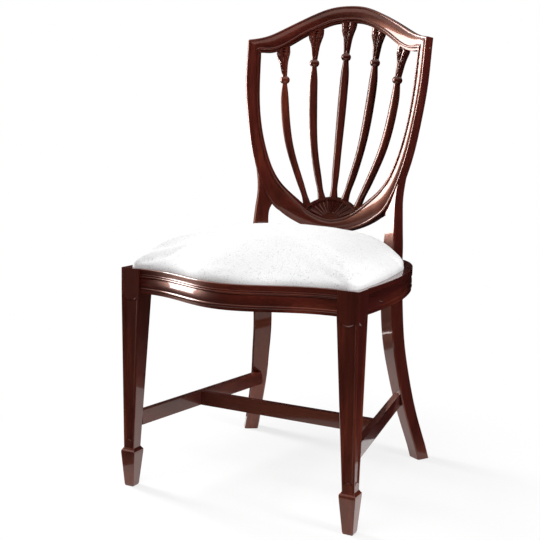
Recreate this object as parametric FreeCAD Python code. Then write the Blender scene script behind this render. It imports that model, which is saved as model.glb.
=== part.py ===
import FreeCAD, Part
import math
import os

# Shield back dining chair with a drop-in seat, millimetres, Z up, front towards -Y.
# Each function makes one piece. The right-hand piece of a pair is modelled and mirrored.

V = FreeCAD.Vector
UP = V(0, 0, 1)

# Heights above the floor
RAIL_TOP = 437.0
RAIL_HEIGHT = 47.0
STRETCHER_TOP = 149.0
STRETCHER_HEIGHT = 29.0
STRETCHER_THICK = 13.5
CROSS_FRONT_Y = -17.0
CROSS_TENON = 7.0

# Front legs: square block, sunk panel, taper on the two inner sides, spade foot
LEG_OUTER_X = 244.5
LEG_FRONT_Y = -231.5
LEG_BLOCK_WIDE = 41.0
LEG_BLOCK_DEEP = 44.0
LEG_ANKLE = 24.0
LEG_ANKLE_SETBACK = 7.5
SPADE_TOP = 79.0
SPADE_COLLAR_Z = 73.0
SPADE_COLLAR = 32.0
SPADE_FLOOR = 21.0
SPADE_OFFSET_X = 1.0
LEG_EASE = 1.2
PANEL_BORDER = 3.6
PANEL_BEVEL = 2.6
PANEL_DEPTH = 1.8
PANEL_TOP_Z = 377.0
PANEL_BOTTOM_Z = 90.0
PANEL_SCALLOP = 0.55

# Seat rails: plan lines of the outer face, section of the moulding, thicknesses
FRONT_RAIL_Y = -228.0
FRONT_BOW = 56.0
FRONT_BOW_SHARPNESS = 2.4
SIDE_LINE = [(243.0, -187.5), (246.0, -140.0), (247.0, -91.0), (245.5, -35.0), (241.0, 11.0),
             (233.5, 54.0), (222.5, 100.0), (209.5, 135.0), (195.0, 162.0), (178.0, 183.0),
             (155.0, 199.5), (120.0, 209.5), (70.0, 214.0), (0.0, 215.5)]
RAIL_THICK = 26.0
RAIL_MITRE = (176.0, 184.5)
RAIL_MITRE_ANGLE = 48.0
FASCIA = 9.6
REED = 3.8
BAND = 19.2
LOWER_BEAD = 5.2
REED_DEPTH = 1.2
BAND_DEPTH = 3.2
TENON_THICK = 9.0
TENON_LENGTH = 18.0

# Back: the shield lies on a raked surface that is hollow in plan
BACK_RADIUS = 360.0
BACK_RAKE = 0.155
BACK_FRONT_Y = 176.0
CREST_THICK = 18.0
STILE_THICK_LOW = 23.0
BOTTOM_RAIL_THICK = 22.0
MITRE_STRETCH = 1.44
BEAD_WIDE = 5.4
QUIRK = 1.9
BAND_CROWN = 1.7
FILLET_WIDE = 4.2
FILLET_DROP = 5.0
EDGE_EASE = 2.0

# Shield outline as (outer x, outer z, inner x, inner z) on the right half
CREST_TOP_Z = 965.0
MITRE = (203.0, 892.0, 177.0, 864.0)
CREST_STATIONS = [(40.0, 961.0, 33.5, 928.0), (72.0, 950.0, 60.0, 918.0), (105.0, 934.0, 90.5, 903.0),
                  (140.0, 914.8, 125.5, 880.0), (172.0, 899.0, 163.0, 866.5)]
CREST_CENTRE = (0.0, CREST_TOP_Z, 0.0, 931.0)
STILE_STATIONS = [(202.0, 845.0, 176.0, 842.0), (198.5, 780.0, 172.7, 776.0), (191.9, 731.0, 166.5, 724.0),
                  (181.5, 669.0, 153.5, 667.0), (170.0, 625.0, 141.5, 632.0), (153.5, 580.0, 124.5, 598.0),
                  (134.0, 544.0, 104.0, 573.5)]
BOTTOM_JOINT = (112.0, 523.5, 85.0, 557.0)
BOTTOM_STATIONS = [(88.0, 507.5, 66.5, 542.0), (60.0, 495.0, 45.0, 528.0), (30.0, 487.0, 22.0, 518.5)]
BOTTOM_CENTRE = (0.0, 484.5, 0.0, 515.0)

# Back post below the shield: (z, centre x, centre y of the front face, width, depth)
POST_CANT = 31.5
POST_STATIONS = [(0.0, 200.7, 225.0, 31.0, 30.0), (50.0, 188.0, 216.0, 31.2, 30.0),
                 (100.0, 175.3, 204.4, 32.5, 30.5), (160.0, 163.0, 192.2, 35.3, 31.0),
                 (230.0, 152.3, 178.9, 38.0, 31.5), (300.0, 146.5, 168.6, 39.5, 31.5),
                 (380.0, 144.9, 160.8, 39.2, 30.5), (437.0, 145.5, 157.3, 38.0, 29.0),
                 (470.0, 148.3, 155.2, 35.8, 27.0), (495.0, 149.2, 156.9, 32.2, 25.0),
                 (518.0, 149.0, 159.6, 30.2, 23.5), (541.0, 144.8, 165.4, 37.2, 22.0),
                 (562.0, 140.5, 171.4, 45.5, 21.0), (600.0, 147.5, 173.4, 38.0, 19.5),
                 (640.0, 161.0, 171.6, 26.0, 17.0)]
POST_EASE = 2.2

# Splats: centre line (x, z) and front width at each station, from foot to ball
SPLAT_THICK = 12.0
SPLAT_SETBACK = 5.0
SPLAT_CROWN = 0.22
FLUTE_CROWN = 0.3
BALL_RADIUS = 10.6
BALL_HALF_HEIGHT = 7.6
BALL_EDGE_RADIUS = 5.5
NECK = 8.6
CAPITAL_WIDTHS = {"centre": 33.5, "inner": 32.0, "outer": 29.5}
CAPITAL_FLARE = [(0.04, 0.0), (0.12, 0.03), (0.30, 0.15), (0.55, 0.35), (0.76, 0.70), (0.88, 0.93),
                 (1.0, 1.0), (1.08, 1.02)]
SPLAT_LINES = {
    "centre": [(0.0, 552.0, 15.5), (0.0, 562.0, 15.0), (0.0, 571.0, 11.8), (0.0, 600.0, 12.4),
               (0.0, 640.0, 13.8), (0.0, 705.0, 16.0), (0.0, 765.0, 17.4), (0.0, 800.0, 17.0),
               (0.0, 826.0, 15.0), (0.0, 840.0, 11.6), (0.0, 853.0, NECK), (0.0, 858.0, 0.0),
               (0.0, 931.0, 0.0)],
    "inner": [(24.0, 547.0, 15.5), (26.8, 556.5, 15.0), (29.2, 565.5, 11.8), (36.9, 594.0, 12.4),
              (46.8, 633.0, 13.8), (57.8, 693.0, 16.0), (63.8, 752.0, 17.4), (66.4, 787.0, 17.0),
              (67.6, 813.0, 15.0), (68.1, 827.0, 11.6), (68.5, 840.0, NECK), (68.6, 845.0, 0.0),
              (70.5, 912.5, 0.0)],
    "outer": [(54.0, 532.0, 15.5), (58.3, 543.0, 15.0), (62.0, 553.5, 11.8), (73.0, 580.5, 12.4),
              (86.5, 613.0, 13.8), (105.5, 666.0, 16.0), (117.5, 721.0, 17.4), (122.3, 755.0, 17.0),
              (124.7, 778.0, 15.0), (125.6, 791.0, 11.6), (126.3, 803.0, NECK), (126.6, 808.0, 0.0),
              (135.0, 873.0, 0.0)],
}

# Lunette: half fan standing on the bottom rail
LUNETTE_RADIUS = 83.0
LUNETTE_TOP_Z = 558.0
LUNETTE_BACK = 17.0
LUNETTE_RIM = 4.6
LUNETTE_FIELD_DROP = 2.6
PETALS = 13
PETAL_ROOT_Z = 510.0
PETAL_ROOT_RADIUS = 15.0
PETAL_FULLNESS = 0.47
BOSS_RADIUS = 25.5
BOSS_TOP_Z = 524.0
BOSS_FACE = 0.9

# Drop-in seat: plan outline, loose frame and stuffing
SEAT_LIP = 10.0
SEAT_CENTRE_Y = -30.0
SEAT_CORNER_IN = 17.0
SEAT_SIDE_MID = (233.0, -80.0)
SEAT_SIDE_END = (220.5, 36.0)
SEAT_REAR_CORNER = (203.5, 97.0)
SEAT_REAR_END = (163.0, 142.5)
SEAT_REAR_Y = 192.0
POCKET_DEPTH = 14.0
POCKET_CLEARANCE = 1.5
SEAT_REST_GAP = 0.3
DUST_COVER_THICK = 0.6
SEAT_FRAME_THICK = 18.0
SEAT_FRAME_WIDE = 50.0
WEBBING_THICK = 1.5
WEBBING_WIDE = 50.0
HESSIAN_THICK = 0.8
COVER_THICK = 1.6
SOFT_GAP = 0.4
CROWN_RISE = 69.0
SIDE_STRIP = 17.0
CUSHION_PROFILE = [(0.0, 1.0), (0.04, 0.983), (0.10, 0.961), (0.22, 0.927), (0.34, 0.896), (0.46, 0.864),
                   (0.57, 0.830), (0.67, 0.794), (0.76, 0.753), (0.84, 0.706), (0.91, 0.645),
                   (0.96, 0.569), (0.99, 0.46), (1.0, 0.30)]

# Glue blocks and fasteners
BLOCK_GAP_BELOW_POCKET = 3.0
BLOCK_LIFT = 4.0
SCREW_SHANK = 2.0
SCREW_HEAD = 4.2
SCREW_LENGTH = 38.0
DOWEL_RADIUS = 4.0
DOWEL_LENGTH = 34.0
TACK_RADIUS = 4.5
TACK_THICK = 1.0

# Values that follow from the ones above
RAIL_BOTTOM = RAIL_TOP - RAIL_HEIGHT
LEG_INNER_X = LEG_OUTER_X - LEG_BLOCK_WIDE
LEG_BACK_Y = LEG_FRONT_Y + LEG_BLOCK_DEEP
POCKET_Z = RAIL_TOP - POCKET_DEPTH
SEAT_BOTTOM_Z = POCKET_Z + SEAT_REST_GAP
FRAME_Z = SEAT_BOTTOM_Z + DUST_COVER_THICK
WEBBING_Z = FRAME_Z + SEAT_FRAME_THICK
HESSIAN_Z = WEBBING_Z + 2 * WEBBING_THICK
PAD_Z = HESSIAN_Z + HESSIAN_THICK
CROWN_Z = RAIL_TOP + CROWN_RISE
STRETCHER_Z = STRETCHER_TOP - STRETCHER_HEIGHT


# Shape helpers

def polygon(points):
    return Part.makePolygon(list(points) + [points[0]])


def arc(a, b, c):
    return Part.Arc(a, b, c).toShape()


def line(a, b):
    return Part.LineSegment(a, b).toShape()


def prism(points, z0, z1):
    base = polygon([V(x, y, z0) for x, y in points])
    return Part.Face(base).extrude(V(0, 0, z1 - z0))


def mirrored(shape):
    return shape.mirror(V(0, 0, 0), V(1, 0, 0))


def box_between(x0, x1, y0, y1, z0, z1):
    return Part.makeBox(x1 - x0, y1 - y0, z1 - z0, V(x0, y0, z0))


def biggest(shape):
    return max(shape.Solids, key=lambda s: s.Volume)


def eased_rectangle(corner, across, deep, wide, depth, ease):
    """Closed wire of a rectangle with small chamfers, starting at its front corner."""
    def p(u, v):
        return corner + across * u + deep * v
    return polygon([p(ease, 0), p(wide - ease, 0), p(wide, ease), p(wide, depth - ease),
                    p(wide - ease, depth), p(ease, depth), p(0, depth - ease), p(0, ease)])


# Front leg

def leg_section(z, x_outer, y_front, wide, deep, ease=LEG_EASE):
    return eased_rectangle(V(x_outer - wide, y_front, z), V(1, 0, 0), V(0, 1, 0), wide, deep, ease)


def ankle():
    """Outer x, front y of the thin end of the taper."""
    return LEG_OUTER_X, LEG_FRONT_Y + LEG_ANKLE_SETBACK


def spade_foot():
    x, y = ankle()
    cx = x - LEG_ANKLE / 2
    cy = y + LEG_ANKLE / 2
    collar_low = SPADE_COLLAR_Z - 5.0
    heel = 3.5
    rows = [(SPADE_TOP, LEG_ANKLE, 0.0), (SPADE_COLLAR_Z + 2.5, LEG_ANKLE + 4.0, 0.0),
            (SPADE_COLLAR_Z, SPADE_COLLAR, 0.0), (collar_low, SPADE_COLLAR, 0.0),
            (heel, SPADE_FLOOR, SPADE_OFFSET_X), (0.0, SPADE_FLOOR - 2.0, SPADE_OFFSET_X)]
    wires = []
    for z, size, shift in rows:
        wires.append(leg_section(z, cx + shift + size / 2, cy - size / 2, size, size, 0.8))
    return Part.makeLoft(wires, True, True)


def panel_cutter(low_mid, high_mid, across, into, low, high):
    """Sunk panel with bevelled sides between two middle points of a face, given the half widths there."""
    height = high_mid.z - low_mid.z

    def wire(inset, depth):
        def p(u, v):
            return low_mid + (high_mid - low_mid) * (v / height) + across * u + into * depth
        lo = low - PANEL_BORDER - inset
        hi = high - PANEL_BORDER - inset
        top = height - inset
        return Part.Wire([line(p(-lo, inset), p(-hi, top + PANEL_SCALLOP * hi)),
                          arc(p(-hi, top + PANEL_SCALLOP * hi), p(0, top), p(hi, top + PANEL_SCALLOP * hi)),
                          line(p(hi, top + PANEL_SCALLOP * hi), p(lo, inset)),
                          arc(p(lo, inset), p(0, inset + PANEL_SCALLOP * lo), p(-lo, inset))])
    return Part.makeLoft([wire(-PANEL_BEVEL * 0.5, -PANEL_DEPTH * 0.5), wire(PANEL_BEVEL, PANEL_DEPTH)],
                         True, True)


def taper_at(z):
    """Width, depth and front y of the tapered shaft at a height."""
    t = (RAIL_BOTTOM - z) / (RAIL_BOTTOM - SPADE_TOP)
    wide = LEG_BLOCK_WIDE + (LEG_ANKLE - LEG_BLOCK_WIDE) * t
    deep = LEG_BLOCK_DEEP + (LEG_ANKLE - LEG_BLOCK_DEEP) * t
    return wide, deep, LEG_FRONT_Y + LEG_ANKLE_SETBACK * t


def front_leg_blank():
    top = [leg_section(z, LEG_OUTER_X, LEG_FRONT_Y, LEG_BLOCK_WIDE, LEG_BLOCK_DEEP)
           for z in (RAIL_BOTTOM, RAIL_TOP)]
    x, y = ankle()
    low = leg_section(SPADE_TOP, x, y, LEG_ANKLE, LEG_ANKLE)
    blank = Part.makeLoft(top, True, True).fuse(Part.makeLoft([low, top[0]], True, True))
    blank = blank.fuse(spade_foot())
    w0, d0, y0 = taper_at(PANEL_BOTTOM_Z)
    w1, d1, y1 = taper_at(PANEL_TOP_Z)
    x = LEG_OUTER_X
    front = panel_cutter(V(x - w0 / 2, y0, PANEL_BOTTOM_Z), V(x - w1 / 2, y1, PANEL_TOP_Z),
                         V(1, 0, 0), V(0, 1, 0), w0 / 2, w1 / 2)
    side = panel_cutter(V(x, y0 + d0 / 2, PANEL_BOTTOM_Z), V(x, y1 + d1 / 2, PANEL_TOP_Z),
                        V(0, 1, 0), V(-1, 0, 0), d0 / 2, d1 / 2)
    return blank.cut(front).cut(side)


# Seat rails

def front_line(x):
    """Serpentine outer face of the front rail: hollow beside the legs, bowed at the middle."""
    t = min(1.0, abs(x) / LEG_INNER_X)
    return FRONT_RAIL_Y - FRONT_BOW * math.cos(math.pi * t / 2) ** FRONT_BOW_SHARPNESS


def smooth(points):
    curve = Part.BSplineCurve()
    curve.interpolate([V(*p) for p in points])
    return curve


def rail_section(start, tangent, thick):
    """Moulded section: u outwards from the face line, v up from the rail top."""
    out = tangent.cross(UP).normalize()

    def p(u, v):
        return start + out * u + UP * v
    v1 = -FASCIA
    v2 = v1 - REED
    v3 = v2 - REED
    v4 = v3 - BAND
    v5 = v4 - LOWER_BEAD
    soft = 1.0
    d = REED_DEPTH
    return Part.Wire([
        line(p(-thick, 0), p(-soft, 0)),
        line(p(-soft, 0), p(0, -soft)),
        line(p(0, -soft), p(0, v1 + d)),
        line(p(0, v1 + d), p(-d, v1)),
        arc(p(-d, v1), p(0, (v1 + v2) / 2), p(-d, v2)),
        arc(p(-d, v2), p(0, (v2 + v3) / 2), p(-d, v3)),
        line(p(-d, v3), p(-BAND_DEPTH, v3)),
        arc(p(-BAND_DEPTH, v3), p(-0.4, v3 - 0.55 * BAND), p(-d, v4)),
        arc(p(-d, v4), p(0, (v4 + v5) / 2), p(-d, v5)),
        line(p(-d, v5), p(-d, -RAIL_HEIGHT)),
        line(p(-d, -RAIL_HEIGHT), p(-thick, -RAIL_HEIGHT)),
        line(p(-thick, -RAIL_HEIGHT), p(-thick, 0)),
    ])


def swept_rail(points, thick):
    curve = smooth([(x, y, RAIL_TOP) for x, y in points])
    start = curve.value(curve.FirstParameter)
    tangent = curve.tangent(curve.FirstParameter)[0]
    spine = Part.Wire([curve.toShape()])
    return spine.makePipeShell([rail_section(start, tangent, thick)], True, False)


def front_rail_blank():
    reach = LEG_INNER_X + 4.0
    count = 17
    xs = [-reach + 2 * reach * i / (count - 1) for i in range(count)]
    rail = swept_rail([(x, front_line(x)) for x in xs], RAIL_THICK)
    keep = box_between(-LEG_INNER_X, LEG_INNER_X, -400, 0, 0, 600)
    return biggest(Part.makeSolid(rail.Shells[0]).common(keep))


def side_tenon_front():
    """Tenon of the side rail in the back of the front leg block."""
    x1 = SIDE_LINE[0][0] - 8.0
    return box_between(x1 - TENON_THICK, x1, LEG_BACK_Y - TENON_LENGTH, LEG_BACK_Y,
                       RAIL_BOTTOM + 6, POCKET_Z - 4)


def front_tenon():
    """Tenon of the front rail in the inner face of the right front leg."""
    y0 = FRONT_RAIL_Y + 7.0
    return box_between(LEG_INNER_X, LEG_INNER_X + TENON_LENGTH, y0, y0 + TENON_THICK,
                       RAIL_BOTTOM + 6, POCKET_Z - 4)


def u_line():
    """Outer face line from the right front leg round the back to the left front leg."""
    left = [(-x, y) for x, y in reversed(SIDE_LINE[:-1])]
    return SIDE_LINE + left


def mitre_region():
    """Plan area in front of both rear mitres, as a tall solid on the right side only."""
    x, y = RAIL_MITRE
    a = math.radians(RAIL_MITRE_ANGLE)
    along = (math.cos(a), math.sin(a))
    near = (x - 90 * along[0], y - 90 * along[1])
    far = (x + 60 * along[0], y + 60 * along[1])
    return prism([near, far, (400, far[1]), (400, -260), (near[0], -260)], 300, 500)


def side_and_rear_blanks():
    ring = swept_rail(u_line(), RAIL_THICK)
    ring = Part.makeSolid(ring.Shells[0])
    side_zone = mitre_region()
    behind_leg = box_between(-400, 400, LEG_BACK_Y, 400, 0, 600)
    side = biggest(ring.common(side_zone).common(behind_leg))
    rear = biggest(ring.cut(side_zone).cut(mirrored(side_zone)))
    return side, rear


# Back: points on the hollow raked surface

def back_y(x, z):
    sag = BACK_RADIUS - math.sqrt(BACK_RADIUS ** 2 - x * x)
    return BACK_FRONT_Y + BACK_RAKE * (z - RAIL_TOP) - sag


def on_back(x, z, depth=0.0):
    p = V(x, back_y(x, z), z)
    return p + back_normal(x) * depth


def back_normal(x):
    """Unit vector into the wood, square to the front surface."""
    n = V(x / math.sqrt(BACK_RADIUS ** 2 - x * x), 1.0, -BACK_RAKE)
    return n.normalize()


def frame_section(station, thick, stretch=1.0, side=1.0):
    """Section of the shield moulding from its outer edge to its inner edge."""
    xo, zo, xi, zi = station
    a = on_back(side * xo, zo)
    b = on_back(side * xi, zi)
    wide = (b - a).Length
    across = (b - a).normalize()
    n = back_normal(side * (xo + xi) / 2)
    n = (n - across * n.dot(across)).normalize()

    def p(w, d):
        return a + across * w + n * d
    bead = BEAD_WIDE * stretch
    fillet = FILLET_WIDE * stretch
    in_edge = wide - fillet
    in_bead = in_edge - bead
    e = EDGE_EASE
    return Part.Wire([
        line(p(0, thick - e), p(0, QUIRK)),
        arc(p(0, QUIRK), p(bead / 2, 0), p(bead, QUIRK)),
        arc(p(bead, QUIRK), p((bead + in_bead) / 2, QUIRK - BAND_CROWN), p(in_bead, QUIRK)),
        arc(p(in_bead, QUIRK), p(in_bead + bead / 2, 0), p(in_edge, QUIRK)),
        line(p(in_edge, QUIRK), p(in_edge, FILLET_DROP)),
        line(p(in_edge, FILLET_DROP), p(wide, FILLET_DROP)),
        line(p(wide, FILLET_DROP), p(wide, thick - e)),
        line(p(wide, thick - e), p(wide - e, thick)),
        line(p(wide - e, thick), p(e, thick)),
        line(p(e, thick), p(0, thick - e)),
    ])


def crest_blank():
    wires = [frame_section(MITRE, CREST_THICK, MITRE_STRETCH, -1.0)]
    wires += [frame_section(s, CREST_THICK, 1.0, -1.0) for s in reversed(CREST_STATIONS)]
    wires.append(frame_section(CREST_CENTRE, CREST_THICK))
    wires += [frame_section(s, CREST_THICK) for s in CREST_STATIONS]
    wires.append(frame_section(MITRE, CREST_THICK, MITRE_STRETCH))
    return Part.makeLoft(wires, True, False)


def stile_blank():
    """Moulded side of the shield, from the mitre to the joint beside the bottom rail."""
    wires = [frame_section(MITRE, CREST_THICK, MITRE_STRETCH)]
    count = len(STILE_STATIONS)
    for i, station in enumerate(STILE_STATIONS):
        grow = (i + 1) / count
        wires.append(frame_section(station, CREST_THICK + (STILE_THICK_LOW - CREST_THICK) * grow))
    wires.append(frame_section(BOTTOM_JOINT, STILE_THICK_LOW))
    return Part.makeLoft(wires, True, False)


def post_blank():
    """Sabre leg and waisted post, rectangular in section with eased corners."""
    cant = math.radians(POST_CANT)
    across = V(math.cos(cant), -math.sin(cant), 0)
    deep = V(math.sin(cant), math.cos(cant), 0)
    wires = []
    for z, cx, cy, wide, depth in POST_STATIONS:
        corner = V(cx, cy, z) - across * (wide / 2)
        wires.append(eased_rectangle(corner, across, deep, wide, depth, POST_EASE))
    return Part.makeLoft(wires, True, False)


def bottom_rail_blank():
    wires = [frame_section(BOTTOM_JOINT, STILE_THICK_LOW, 1.0, -1.0)]
    wires += [frame_section(s, BOTTOM_RAIL_THICK, 1.0, -1.0) for s in BOTTOM_STATIONS]
    wires.append(frame_section(BOTTOM_CENTRE, BOTTOM_RAIL_THICK))
    wires += [frame_section(s, BOTTOM_RAIL_THICK) for s in reversed(BOTTOM_STATIONS)]
    wires.append(frame_section(BOTTOM_JOINT, STILE_THICK_LOW))
    return Part.makeLoft(wires, True, False)


def dowel(station_a, toward, depth):
    """Dowel across a joint: centred on the joint's middle, along the direction given in x and z."""
    xo, zo, xi, zi = station_a
    x = (xo + xi) / 2
    z = (zo + zi) / 2
    centre = on_back(x, z, depth)
    ahead = on_back(x + toward[0], z + toward[1], depth)
    way = (ahead - centre).normalize()
    return Part.makeCylinder(DOWEL_RADIUS, DOWEL_LENGTH, centre - way * (DOWEL_LENGTH / 2), way)


def shield_dowels():
    right = [dowel(MITRE, (-14.0, 14.0), CREST_THICK / 2 + 1.5),
             dowel(BOTTOM_JOINT, (-12.0, -9.0), BOTTOM_RAIL_THICK / 2 + 1.5)]
    return right + [mirrored(d) for d in right]


# Splats

def splat_section(centre, along, wide, reeds=1, side=1.0, crown_share=SPLAT_CROWN):
    """Bar section on the back surface: rounded or twin reeded front, flat sides and back."""
    x, z = centre
    n = back_normal(side * x)
    origin = on_back(side * x, z, SPLAT_SETBACK)
    tangent = V(side * along[0], 0, along[1])
    tangent = (tangent - n * tangent.dot(n)).normalize()
    across = tangent.cross(n).normalize()

    def p(u, d):
        return origin + across * u + n * d
    h = wide / 2
    back = SPLAT_THICK
    step = wide / reeds
    crown = crown_share * step
    edges = [line(p(h, back), p(-h, back)), line(p(-h, back), p(-h, crown))]
    for i in range(reeds):
        u = -h + i * step
        edges.append(arc(p(u, crown), p(u + step / 2, 0), p(u + step, crown)))
    edges.append(line(p(h, crown), p(h, back)))
    return Part.Wire(edges)


def direction(points, i):
    a = points[max(0, i - 1)]
    b = points[min(len(points) - 1, i + 1)]
    dx = b[0] - a[0]
    dz = b[1] - a[1]
    length = math.hypot(dx, dz)
    return dx / length, dz / length


def splat_blank(kind, side=1.0):
    rows = SPLAT_LINES[kind]
    bar = rows[:-2]
    ball = rows[-2]
    top = rows[-1]
    wires = []
    for i, (x, z, wide) in enumerate(bar):
        wires.append(splat_section((x, z), direction(bar, i), wide, 1, side))
    shaft = Part.makeLoft(wires, True, False)
    way = (top[0] - ball[0], top[1] - ball[1])
    length = math.hypot(*way)
    way = (way[0] / length, way[1] / length)
    bead = collar(on_back(side * ball[0], ball[1], SPLAT_SETBACK + SPLAT_THICK / 2),
                  on_back(side * top[0], top[1], SPLAT_SETBACK + SPLAT_THICK / 2))
    capital = []
    for share, spread in CAPITAL_FLARE:
        wide = NECK + (CAPITAL_WIDTHS[kind] - NECK) * spread
        at = (ball[0] + way[0] * length * share, ball[1] + way[1] * length * share)
        capital.append(splat_section(at, way, wide, 2, side, FLUTE_CROWN))
    capital = Part.makeLoft(capital, True, False)
    return shaft.fuse(bead).fuse(capital)


def collar(centre, toward):
    """Turned collar between shaft and capital: a flattened ball on the splat's own line."""
    way = (toward - centre).normalize()
    out = way.cross(V(0, 1, 0)).normalize()

    def p(radius, along):
        return centre + out * radius + way * along
    low = p(BALL_EDGE_RADIUS, -BALL_HALF_HEIGHT)
    high = p(BALL_EDGE_RADIUS, BALL_HALF_HEIGHT)
    rim = Part.Wire([line(p(0, -BALL_HALF_HEIGHT), low), arc(low, p(BALL_RADIUS, 0), high),
                     line(high, p(0, BALL_HALF_HEIGHT)),
                     line(p(0, BALL_HALF_HEIGHT), p(0, -BALL_HALF_HEIGHT))])
    return Part.makeSolid(Part.Face(rim).revolve(centre, way, 360).Shells[0])


# Lunette

def back_slab(d0, d1, half_width, z0, z1):
    """Slab between two depths behind the back's front surface."""
    def ring_edge(radius, half):
        x = half
        cy = BACK_FRONT_Y + BACK_RAKE * (z0 - RAIL_TOP) - BACK_RADIUS
        y = cy + math.sqrt(radius ** 2 - x * x)
        return V(-x, y, z0), V(0, cy + radius, z0), V(x, y, z0)
    a = ring_edge(BACK_RADIUS + d0, half_width)
    b = ring_edge(BACK_RADIUS + d1, half_width)
    face = Part.Face(Part.Wire([arc(*a), line(a[2], b[2]), arc(b[2], b[1], b[0]), line(b[0], a[0])]))
    height = z1 - z0
    return face.extrude(V(0, BACK_RAKE * height, height))


def fan_prism(radius):
    """Everything under the fan's arc, running front to back."""
    cz = LUNETTE_TOP_Z - LUNETTE_RADIUS
    return Part.makeCylinder(radius, 200, V(0, 100, cz), V(0, 1, 0))


def petal_cut(angle):
    """Hollow between two ribs of the fan: a cone that widens from the boss to the rim."""
    ca = math.cos(angle)
    sa = math.sin(angle)
    cz = LUNETTE_TOP_Z - LUNETTE_RADIUS
    reach = fan_reach(ca, sa, LUNETTE_RADIUS - LUNETTE_RIM - 1.5, cz)
    root = PETAL_ROOT_RADIUS
    depth = LUNETTE_FIELD_DROP - 0.6
    a = on_back(ca * root, PETAL_ROOT_Z + sa * root, depth)
    b = on_back(ca * reach, PETAL_ROOT_Z + sa * reach, depth)
    spread = math.pi / (PETALS + 1)
    return Part.makeCone(root * spread * PETAL_FULLNESS, reach * spread * PETAL_FULLNESS,
                         (b - a).Length, a, b - a)


def fan_reach(ca, sa, radius, cz):
    """Distance from the petal root to the rim circle along one direction."""
    dz = PETAL_ROOT_Z - cz
    half = dz * sa
    return -half + math.sqrt(half * half + radius * radius - dz * dz)


def lunette_blank():
    z0 = 500.0
    z1 = 570.0
    half = LUNETTE_RADIUS - 5.0
    field = back_slab(LUNETTE_FIELD_DROP, LUNETTE_BACK, half, z0, z1).common(fan_prism(LUNETTE_RADIUS - 0.5))
    rim = back_slab(0.6, LUNETTE_BACK, half, z0, z1)
    rim = rim.common(fan_prism(LUNETTE_RADIUS)).cut(fan_prism(LUNETTE_RADIUS - LUNETTE_RIM))
    disc = Part.makeCylinder(BOSS_RADIUS, 200, V(0, 100, BOSS_TOP_Z - BOSS_RADIUS), V(0, 1, 0))
    boss = back_slab(BOSS_FACE, LUNETTE_BACK, half, z0, z1).common(disc)
    fan = field.fuse(rim)
    for i in range(PETALS):
        fan = fan.cut(petal_cut(math.pi * (i + 1) / (PETALS + 1)))
    return fan.fuse(boss)


# Stretchers

def side_stretcher_ends():
    return V(225.5, -190.0, STRETCHER_Z), V(168.5, 197.0, STRETCHER_Z)


def bar_along(a, b, thick, height, z0):
    """Straight bar between two plan points."""
    way = V(b.x - a.x, b.y - a.y, 0).normalize()
    out = way.cross(UP) * (thick / 2)
    pts = [(a + out), (b + out), (b - out), (a - out)]
    return prism([(p.x, p.y) for p in pts], z0, z0 + height)


def side_stretcher_parts():
    a, b = side_stretcher_ends()
    way = (b - a).normalize()
    body = bar_along(a - way * 4, b + way * 6, STRETCHER_THICK, STRETCHER_HEIGHT, STRETCHER_Z)
    inset = 5.0
    tenons = bar_along(a - way * 12, b + way * 18, STRETCHER_THICK - 5.0,
                       STRETCHER_HEIGHT - 2 * inset, STRETCHER_Z + inset)
    return body, tenons


def cross_stretcher_parts():
    y = CROSS_FRONT_Y + STRETCHER_THICK / 2
    a, b = side_stretcher_ends()
    share = (y - a.y) / (b.y - a.y)
    x = a.x + (b.x - a.x) * share
    body = bar_along(V(-x, y, 0), V(x, y, 0), STRETCHER_THICK, STRETCHER_HEIGHT, STRETCHER_Z)
    reach = x - STRETCHER_THICK / 2 + CROSS_TENON
    inset = 5.0
    tenon = bar_along(V(-reach, y, 0), V(reach, y, 0), STRETCHER_THICK - 5.0,
                      STRETCHER_HEIGHT - 2 * inset, STRETCHER_Z + inset)
    return body, tenon


# Drop-in seat

def seat_outline(scale, z):
    """Plan of the seat as ten arcs, shrunk or grown about its middle."""
    def p(x, y):
        return V(x * scale, SEAT_CENTRE_Y + (y - SEAT_CENTRE_Y) * scale, z)
    lip = SEAT_LIP
    bow = front_line(0) + lip
    turn_x = 0.42 * LEG_INNER_X
    hollow_x = 0.7 * LEG_INNER_X
    corner_x = LEG_OUTER_X - lip
    corner_y = LEG_FRONT_Y + lip + 2.0
    near = SEAT_CORNER_IN
    soft = near * (1 - math.sqrt(0.5))

    def half(s):
        turn = p(s * turn_x, front_line(turn_x) + lip)
        hollow = p(s * hollow_x, front_line(hollow_x) + lip)
        corner_a = p(s * (corner_x - near), corner_y)
        corner_m = p(s * (corner_x - soft), corner_y + soft)
        corner_b = p(s * corner_x, corner_y + near)
        side_m = p(s * SEAT_SIDE_MID[0], SEAT_SIDE_MID[1])
        side_b = p(s * SEAT_SIDE_END[0], SEAT_SIDE_END[1])
        rear_m = p(s * SEAT_REAR_CORNER[0], SEAT_REAR_CORNER[1])
        rear_b = p(s * SEAT_REAR_END[0], SEAT_REAR_END[1])
        return [turn, hollow, corner_a, corner_m, corner_b, side_m, side_b, rear_m, rear_b]
    r = half(1.0)
    l = half(-1.0)
    edges = [arc(l[0], p(0, bow), r[0])]
    for i in (0, 2, 4, 6):
        edges.append(arc(r[i], r[i + 1], r[i + 2]))
    edges.append(arc(r[8], p(0, SEAT_REAR_Y), l[8]))
    for i in (8, 6, 4, 2):
        edges.append(arc(l[i], l[i - 1], l[i - 2]))
    return Part.Wire(edges)


def inset_scale(inset):
    return 1.0 - inset / SEAT_SIDE_MID[0]


def seat_prism(inset, z0, z1):
    return Part.Face(seat_outline(inset_scale(inset), z0)).extrude(V(0, 0, z1 - z0))


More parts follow.
